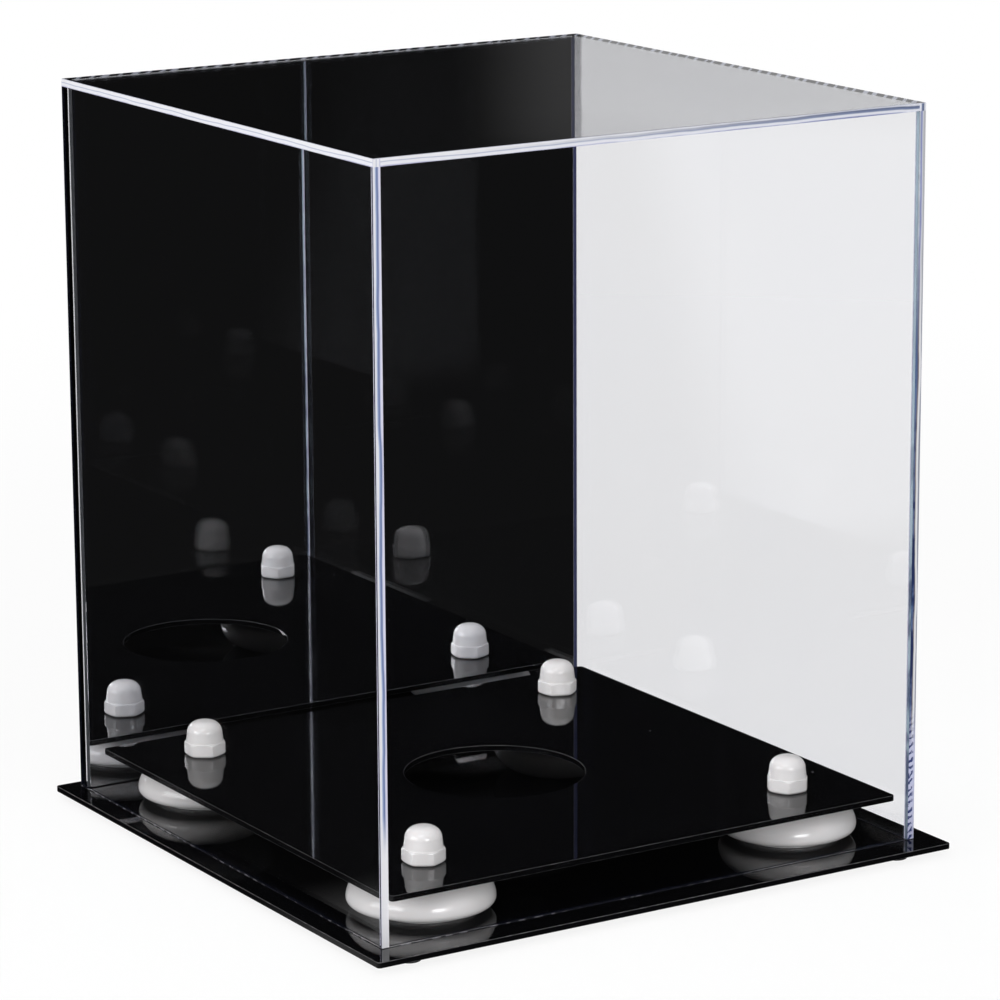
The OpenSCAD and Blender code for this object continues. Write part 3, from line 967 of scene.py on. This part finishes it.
def nutMesh(name, centre, height, turnDegrees):
    # In each direction the hexagon's reach is half its width over the cosine of the angle
    # from the nearest flat's middle, which lies 30 degrees from a corner. The bevel is a cone
    # that cuts the upper corners, and the cap is a straight, slightly tapered side under a
    # flattened quarter round.
    segments = nut["segments"]
    angle = np.linspace(0, 2 * math.pi, segments, endpoint=False)
    fromFlat = angle % (math.pi / 3) - math.pi / 6
    flat = nut["acrossFlats"] / 2
    cornerR = flat / math.cos(math.pi / 6)
    cut = np.full(segments, cornerR - nut["cornerRound"] / 2)
    reach = softMinimum(flat / np.cos(fromFlat), cut, nut["cornerRound"])
    hexH, capR, bore, boreTop = nut["hexHeight"], nut["capRadius"], nut["boreRadius"], nut["boreHeight"]
    inset, fillet, rise = nut["bevelInset"], nut["neckFillet"], nut["neckRise"]
    start, sideTop = nut["sideStart"], hexH + (height - hexH) * nut["capSide"]
    rows = []

    def row(radius, z):
        radius = np.broadcast_to(radius, segments)
        ring = [radius * np.cos(angle), radius * np.sin(angle), np.full(segments, z)]
        rows.append(np.stack(ring, axis=-1))

    row(0.0, boreTop)
    row(bore, boreTop)
    row(bore, 0.0)
    row(reach - nut["footBevel"], 0.0)
    for share in nut["footShares"]:
        row(reach - nut["footBevel"] * (1 - share) ** 2, nut["footBevel"] * share)
    for z in np.linspace(nut["footBevel"], hexH, nut["hexSteps"])[1:]:
        cone = flat - inset + (cornerR - flat + inset) * (hexH - z) / nut["bevelDrop"]
        row(softMinimum(reach, np.full(segments, cone), nut["bevelSoft"]), z)
    row(np.minimum(reach, flat - inset) - nut["neckInset"], hexH + rise)
    for a in np.radians(np.linspace(-90, 0, nut["neckSteps"])):
        row(capR + fillet - fillet * math.cos(a) - nut["neckLap"],
            hexH + rise + fillet + fillet * math.sin(a))
    for share in np.linspace(0, 1, nut["sideSteps"])[1:]:
        row(capR - nut["taper"] * share, hexH + start + (sideTop - hexH - start) * share)
    for a in np.radians(np.linspace(0, 90, nut["capSteps"]))[1:]:
        row((capR - nut["taper"]) * max(math.cos(a), 0.0) ** nut["capPower"],
            sideTop + (height - sideTop) * math.sin(a))
    turn = math.radians(turnDegrees)
    c, s = math.cos(turn), math.sin(turn)
    spin = np.array([[c, s, 0], [-s, c, 0], [0, 0, 1]])
    points = np.stack(rows).reshape(-1, 3) @ spin + centre
    return closeMesh(name, points, gridFaces(len(rows), segments), nut["sharpOver"])


def makeNut(corner):
    # the nut's rows of points in its node's box, turned as it came tight
    low, high = boxOf(f"cap_nut_{corner}")
    mesh = nutMesh(f"acorn_nut_{corner}", footOf(low, high), high[2] - low[2], nut["turns"][corner])
    piece = addObject(f"acorn_nut_{corner}", mesh, [white], "stand")
    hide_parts(f"cap_nut_{corner}")


# a rubber foot and a bolt, in metres. edgeArc is in degrees.
rubberFoot = {"edgeRound": 0.4 * mm, "edgeArc": (-80, -5), "edgeSteps": 8, "draft": 0.15 * mm,
              "topBevel": 0.15 * mm, "topInset": 0.3 * mm, "segments": 72}
bolt = {"headRound": 0.7 * mm, "headSteps": 8, "headGap": 0.02 * mm, "recessRadius": 2.2 * mm,
        "recessDepth": 1.3 * mm, "recessBevel": 0.15 * mm, "shankRadius": 3.0 * mm, "pitch": 1.0 * mm,
        "threadDepth": 0.3 * mm, "threadLength": 11 * mm, "tipBevel": 0.8 * mm, "segments": 64}


def makeFoot(corner):
    # a low round block: flat underside, rounded edge, drafted side and a bevelled top
    low, high = boxOf(f"foot_{corner}")
    radius, height = (high[0] - low[0]) / 2, high[2] - low[2]
    around, bevel = rubberFoot["edgeRound"], rubberFoot["topBevel"]
    base = radius - rubberFoot["draft"]
    profile = np.concatenate([
        [(0, 0), (base - around, 0)],
        arc(base - around, around, around, *rubberFoot["edgeArc"], rubberFoot["edgeSteps"]),
        [(radius - bevel, height - bevel), (radius - rubberFoot["topInset"], height), (0, height)]])
    mesh = revolve(f"bumper_{corner}", profile, footOf(low, high), rubberFoot["segments"])
    piece = addObject(f"bumper_{corner}", mesh, [rubber], "stand")
    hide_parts(f"foot_{corner}")


def makeBolt(corner):
    # A thin round head with a round recess, and a shank whose thread is a row of ridges.
    low, high = boxOf(f"bolt_{corner}")
    headR = (high[0] - low[0]) / 2
    headTop = boxOf("base_plate")[0][2] - low[2] - bolt["headGap"]
    length = high[2] - low[2]
    shank, tip = bolt["shankRadius"], bolt["tipBevel"]
    recess, bevel, around = bolt["recessRadius"], bolt["recessBevel"], bolt["headRound"]
    ridge = bolt["pitch"] / 2
    count = int(bolt["threadLength"] / ridge)
    z = length - tip - bolt["threadLength"] + np.arange(count) * ridge
    thread = np.column_stack([shank - bolt["threadDepth"] * (np.arange(count) % 2), z])
    profile = np.concatenate([
        [(0, bolt["recessDepth"]), (recess, bolt["recessDepth"]), (recess, bevel), (recess + bevel, 0)],
        arc(headR - around, around, around, -90, 0, bolt["headSteps"]),
        [(headR, headTop), (shank, headTop)],
        thread, [(shank - tip, length), (0, length)]])
    mesh = revolve(f"screw_{corner}", profile, footOf(low, high), bolt["segments"])
    piece = addObject(f"screw_{corner}", mesh, [white], "stand")
    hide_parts(f"bolt_{corner}")


for corner in cornerNames:
    makeRiser(corner)
    makeNut(corner)
    makeFoot(corner)
    makeBolt(corner)
print("stage: risers, nuts, feet and bolts made")

# The studio, in metres. Shades and levels are brightnesses, and each lamp has its place, its
# size and its power in watts.
studio = {
    "floorSize": 14.0,
    "floorShade": 0.13,
    "floorDim": 0.6,
    "fade": (0.35, 1.2),
    "fill": 0.58,
    "lampAim": (0, 0, 0.10),
    "lamps": [
        ((-1.80, -0.10, 0.62), (1.5, 0.6), 16.0),
        ((-0.25, -1.75, 0.50), (0.7, 0.4), 8.5),
        ((-1.30, -1.10, 1.90), (0.9, 0.7), 9.0),
        ((0.3, 0.3, 2.1), (1.2, 1.2), 1.5),
    ],
}
# The room that mirrored rays meet. Its radius and the sheet's places are in metres, the card's
# bearings in degrees, and other heights are shares of the radius.
room = {
    "radius": 7.0,
    "discHeight": 0.3 * mm,
    "rings": 40,
    "segments": 96,
    "sharpOver": 30,
    "level": 0.004,
    "tableLevel": 0.006,
    "tableUnder": 0.0005,
    "ceilingLevel": 0.8,
    "ceilingBand": (0.55, 0.85),
    "cardLevel": 0.42,
    "cardGlow": 0.05,
    "cardStart": 33.36,
    "cardSoft": 0.03,
    "glowWidth": 2.2,
    "cardEnd": (62.0, 50.0),
    "cardTop": 0.22,
    "cardTopSoft": 0.03,
    "cardFoot": (0.002, 0.01),
    "sheetLevel": 0.55,
    "sheetBearing": (0.85, 0.53),
    "sheetSide": (-0.02, -0.09),
    "sheetNear": (-0.02, -0.14),
    "sheetReach": (1.8, 1.5),
}


def seenShare(tree):
    # 1 for what the camera sees directly, in metal or through the clear sheets
    path = tree.nodes.new("ShaderNodeLightPath")
    first = mathNode(tree, "MAXIMUM", path.outputs["Is Camera Ray"], path.outputs["Is Glossy Ray"])
    return mathNode(tree, "MAXIMUM", first, path.outputs["Is Transmission Ray"])


def grey(level):
    # a colour of one level
    return (level, level, level)


def makeFloor():
    # Near the object the floor is mostly its own white, and the rest is lit, so that it
    # takes a soft shadow. Further out the lit share fades into plain white.
    half = studio["floorSize"] / 2
    mesh = bpy.data.meshes.new("floor")
    corners = [(-half, -half, 0), (half, -half, 0), (half, half, 0), (-half, half, 0)]
    mesh.from_pydata(corners, [], [(0, 1, 2, 3)])
    material, tree, shader = nodeTree("paleFloor")
    distance = tree.nodes.new("ShaderNodeVectorMath")
    distance.operation = "LENGTH"
    tree.links.new(objectPosition(tree), distance.inputs[0])
    shade = studio["floorShade"]
    far = ramp(tree, distance.outputs["Value"], *studio["fade"])
    tree.links.new(mixColour(tree, far, grey(shade), grey(0.0)), shader.inputs["Base Color"])
    own = mixColour(tree, far, grey(1 - shade), grey(1.0))
    shown = mixColour(tree, seenShare(tree), grey(studio["floorDim"]), own)
    tree.links.new(shown, shader.inputs["Emission Color"])
    setSockets(shader, Emission_Strength=1.0, Roughness=1.0, Specular_IOR_Level=0.0)
    material.cycles.emission_sampling = "NONE"
    addObject("floor", mesh, [material], None)


def roomLevels(tree):
    # The ceiling grows with height over radius, the card is a low band between two bearings,
    # and the sheet lies left of the line of sight, where the right wall mirrors it.
    x, y, z = separate(tree, objectPosition(tree))
    height = mathNode(tree, "DIVIDE", z, room["radius"])
    ceiling = ramp(tree, height, *room["ceilingBand"], room["level"], room["ceilingLevel"])

    bearing = multiply(tree, mathNode(tree, "ARCTAN2", x, y), 180 / math.pi)
    start, soft, top = room["cardStart"], room["cardSoft"], room["cardTop"]
    low = multiply(tree, ramp(tree, height, top, top - room["cardTopSoft"]),
                   ramp(tree, height, *room["cardFoot"]), ramp(tree, bearing, *room["cardEnd"]))
    sharp = ramp(tree, bearing, start - soft, start + soft, 0.0, room["cardLevel"])
    glow = ramp(tree, bearing, start - room["glowWidth"], start, 0.0, room["cardGlow"])
    card = multiply(tree, add(tree, sharp, glow), low)

    rightwards, forwards = room["sheetBearing"]
    sideways = mathNode(tree, "SUBTRACT", multiply(tree, x, rightwards), multiply(tree, y, forwards))
    reach = mathNode(tree, "SQRT", add(tree, multiply(tree, x, x), multiply(tree, y, y)), 0.0)
    sheet = multiply(tree, ramp(tree, sideways, *room["sheetSide"]), ramp(tree, y, *room["sheetNear"]),
                     ramp(tree, reach, *room["sheetReach"]))
    table = add(tree, multiply(tree, sheet, room["sheetLevel"]), room["tableLevel"] - room["level"])
    onTable = mathNode(tree, "LESS_THAN", height, room["tableUnder"])
    return add(tree, ceiling, card, multiply(tree, onTable, table))


def makeRoom():
    # A low disc and a dome stand round the object for mirrored rays alone, as a dark room
    # with a bright ceiling, a pale card to the right behind and a white sheet on the table to
    # the left: without them the mirror and the black boards would show the white background.
    rise = np.radians(np.linspace(0, 90, room["rings"]))
    profile = np.concatenate([[(0, 0)], np.column_stack([np.cos(rise), np.sin(rise)])]) * room["radius"]
    mesh = revolve("dark_room", profile, (0, 0, room["discHeight"]), room["segments"], room["sharpOver"])
    material, tree, shader = nodeTree("darkRoom")
    tree.nodes.remove(shader)
    light = tree.nodes.new("ShaderNodeEmission")
    tree.links.new(roomLevels(tree), light.inputs["Strength"])
    path = tree.nodes.new("ShaderNodeLightPath")
    other = mathNode(tree, "MAXIMUM", path.outputs["Is Diffuse Ray"], path.outputs["Is Shadow Ray"])
    afterMirror = mathNode(tree, "GREATER_THAN", path.outputs["Glossy Depth"], 0.5)
    mirrored = multiply(tree, afterMirror, mathNode(tree, "SUBTRACT", 1.0, other))
    mix = tree.nodes.new("ShaderNodeMixShader")
    tree.links.new(mirrored, mix.inputs["Fac"])
    tree.links.new(tree.nodes.new("ShaderNodeBsdfTransparent").outputs["BSDF"], mix.inputs[1])
    tree.links.new(light.outputs["Emission"], mix.inputs[2])
    tree.links.new(mix.outputs["Shader"], tree.nodes["Material Output"].inputs["Surface"])
    material.cycles.emission_sampling = "NONE"
    addObject("dark_room", mesh, [material], None)


def makeWorld():
    # white for what is seen, and a plain even fill for soft light
    world = bpy.data.worlds.new("studio")
    bpy.context.scene.world = world
    world.use_nodes = True
    tree = world.node_tree
    colour = mixColour(tree, seenShare(tree), grey(studio["fill"]), grey(1.0))
    tree.links.new(colour, tree.nodes["Background"].inputs["Color"])


def makeLamps():
    # soft boxes that all face one point over the middle of the floor
    for number, (place, size, power) in enumerate(studio["lamps"]):
        lamp = bpy.data.lights.new(f"softbox_{number}", "AREA")
        lamp.shape = "RECTANGLE"
        lamp.size, lamp.size_y = size
        lamp.energy = power
        holder = bpy.data.objects.new(f"softbox_{number}", lamp)
        bpy.context.scene.collection.objects.link(holder)
        holder.location = place
        aim = Vector(studio["lampAim"]) - Vector(place)
        holder.rotation_mode = "QUATERNION"
        holder.rotation_quaternion = aim.to_track_quat("-Z", "Y")


makeFloor()
makeRoom()
makeWorld()
makeLamps()

# The camera stands to the front left and looks a little down. Angles are in degrees and
# lengths in metres, but for the sensor's width, which is in millimetres.
viewpoint = {
    "azimuth": -31.97,
    "elevation": 13.42,
    "roll": -0.30,
    "distance": 1.8328,
    "aimHeight": 0.1581,
    "aimRight": 0.0036,
    "aimUp": -0.0167,
    "focalShare": 4.4515,
    "sensorWidth": 36,
    "clip": (0.05, 60),
}


def makeCamera():
    # back points from the aim to the camera; right and up span the picture, turned by the roll
    a, e = math.radians(viewpoint["azimuth"]), math.radians(viewpoint["elevation"])
    back = Vector((math.sin(a) * math.cos(e), -math.cos(a) * math.cos(e), math.sin(e)))
    right = Vector((math.cos(a), math.sin(a), 0))
    up = back.cross(right)
    roll = math.radians(viewpoint["roll"])
    right, up = right * math.cos(roll) + up * math.sin(roll), up * math.cos(roll) - right * math.sin(roll)
    aim = Vector((0, 0, viewpoint["aimHeight"])) + right * viewpoint["aimRight"] + up * viewpoint["aimUp"]
    lens = bpy.data.cameras.new("camera")
    lens.sensor_width = viewpoint["sensorWidth"]
    lens.lens = viewpoint["focalShare"] * lens.sensor_width
    lens.clip_start, lens.clip_end = viewpoint["clip"]
    camera = bpy.data.objects.new("camera", lens)
    bpy.context.scene.collection.objects.link(camera)
    place = Matrix((right, up, back)).transposed().to_4x4()
    place.translation = aim + back * viewpoint["distance"]
    camera.matrix_world = place
    bpy.context.scene.camera = camera


makeCamera()
scene = bpy.context.scene
scene.view_settings.view_transform = "Standard"

# light passes this often through the many clear sheets before it is given up
bounces = {"all": 24, "transmission": 20, "glossy": 12, "transparent": 24}
scene.cycles.max_bounces = bounces["all"]
scene.cycles.transmission_bounces = bounces["transmission"]
scene.cycles.glossy_bounces = bounces["glossy"]
scene.cycles.transparent_max_bounces = bounces["transparent"]
print("stage: studio and camera made")
